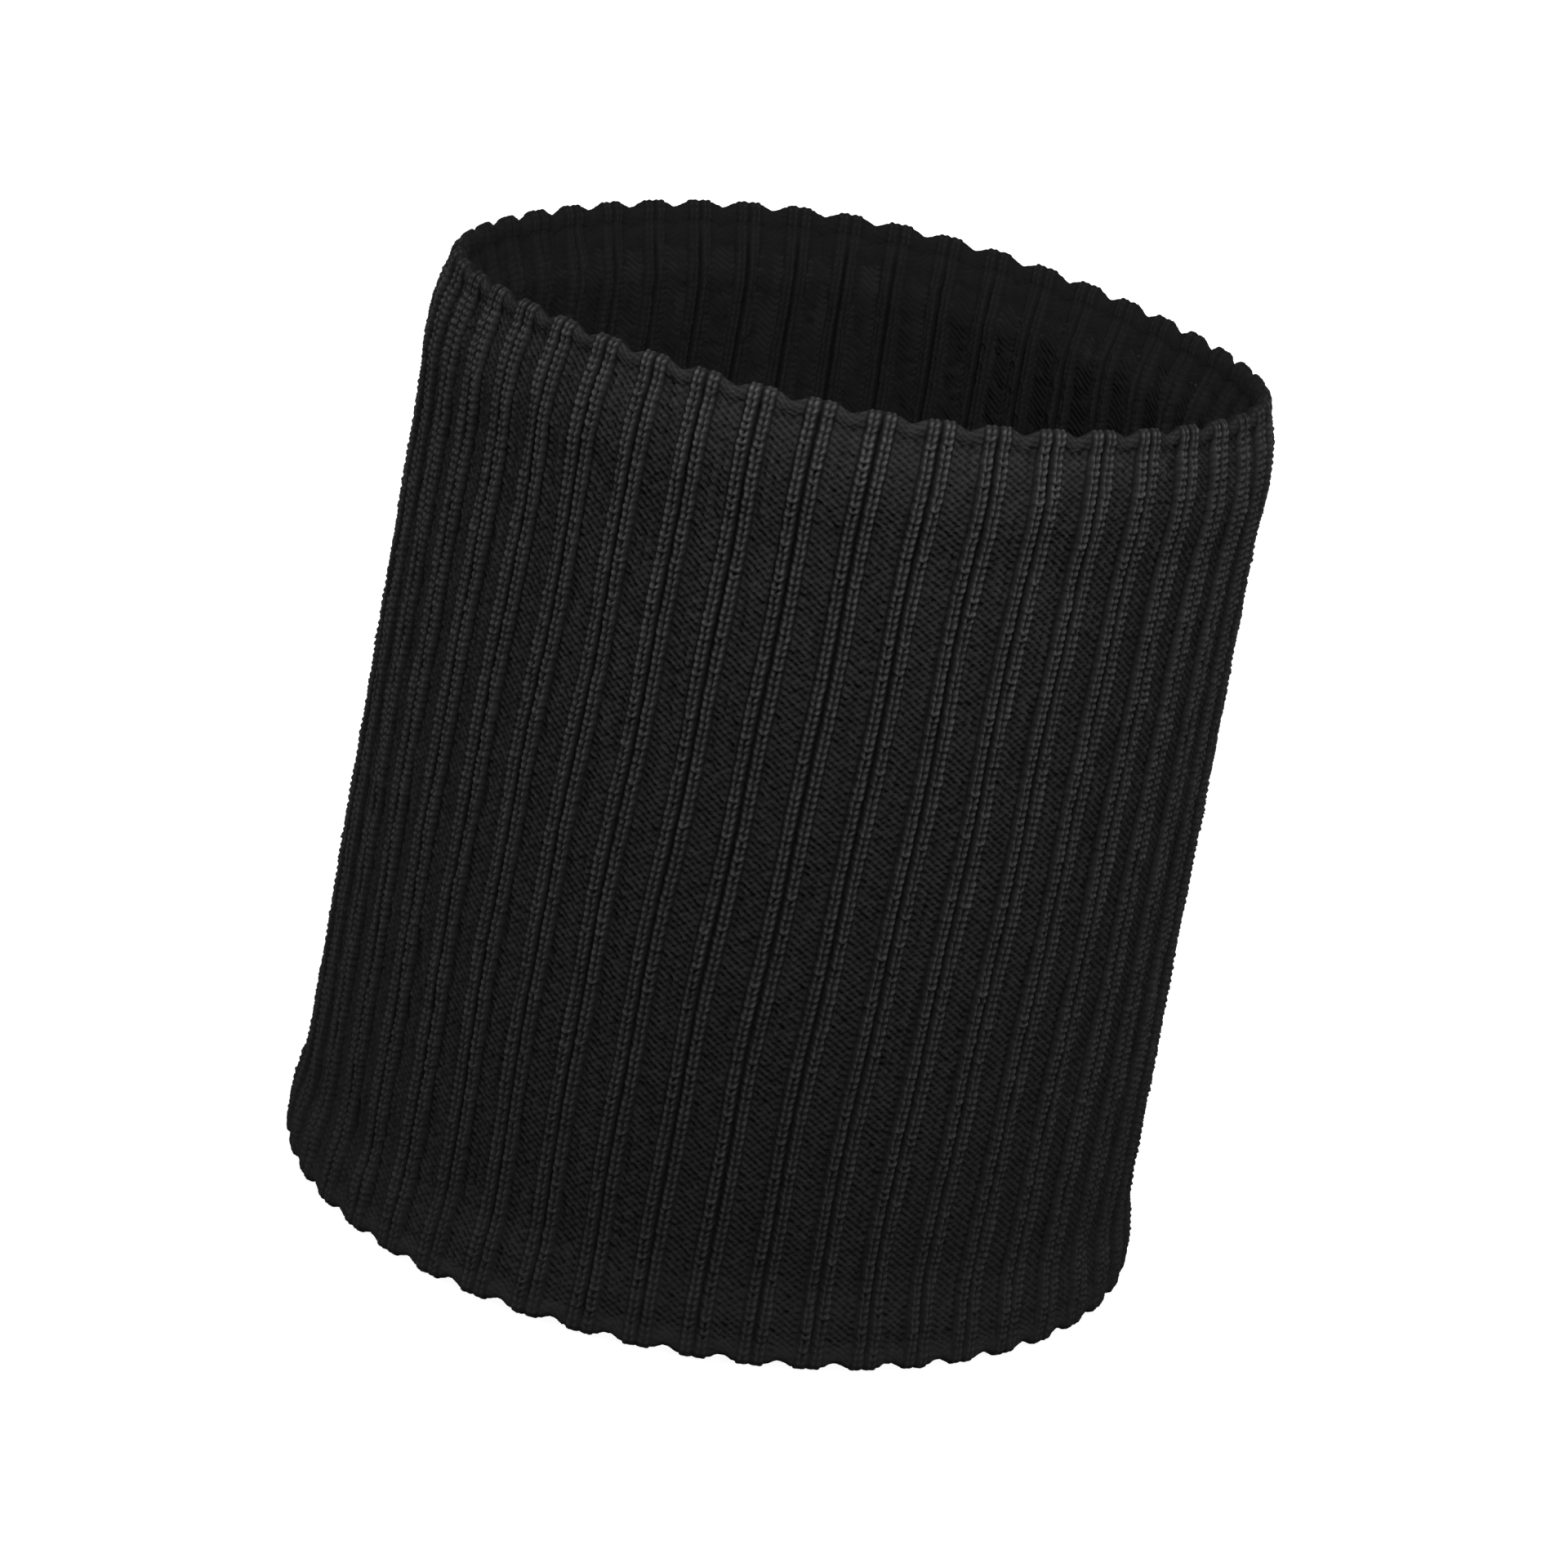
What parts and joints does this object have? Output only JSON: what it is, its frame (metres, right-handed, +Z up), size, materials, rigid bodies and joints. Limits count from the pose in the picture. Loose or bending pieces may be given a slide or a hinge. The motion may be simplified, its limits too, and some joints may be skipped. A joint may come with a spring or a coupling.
{
  "type": "sweat wristband",
  "caption": "Open-ended tube of black rib knit turned in on itself to two layers, with elastic between them, worn round the wrist to soak up sweat.",
  "frame": {"origin": "centre of the circle that the bottom rim stands on", "axes": "+Z up along the tube's axis to the narrower rim; a raised rib lies on the -Y side, which is the front"},
  "size_m": [0.0588, 0.059, 0.063],
  "materials": {
    "face_knit": "black rib knit, matt spun yarn",
    "lining_knit": "black rib knit, matt spun yarn, skin side",
    "seam_thread": "black sewing thread, chained linking stitch",
    "covered_elastic": "black covered elastic thread"
  },
  "bodies": {
    "root": {"outer_layer": "face_knit", "inner_layer": "lining_knit", "closing_seam": "seam_thread", "elastic_thread_01": "covered_elastic", "elastic_thread_02": "covered_elastic", "elastic_thread_03": "covered_elastic", "elastic_thread_04": "covered_elastic", "elastic_thread_05": "covered_elastic", "elastic_thread_06": "covered_elastic", "elastic_thread_07": "covered_elastic", "elastic_thread_08": "covered_elastic", "elastic_thread_09": "covered_elastic", "elastic_thread_10": "covered_elastic", "elastic_thread_11": "covered_elastic", "elastic_thread_12": "covered_elastic"}
  },
  "joints": []
}
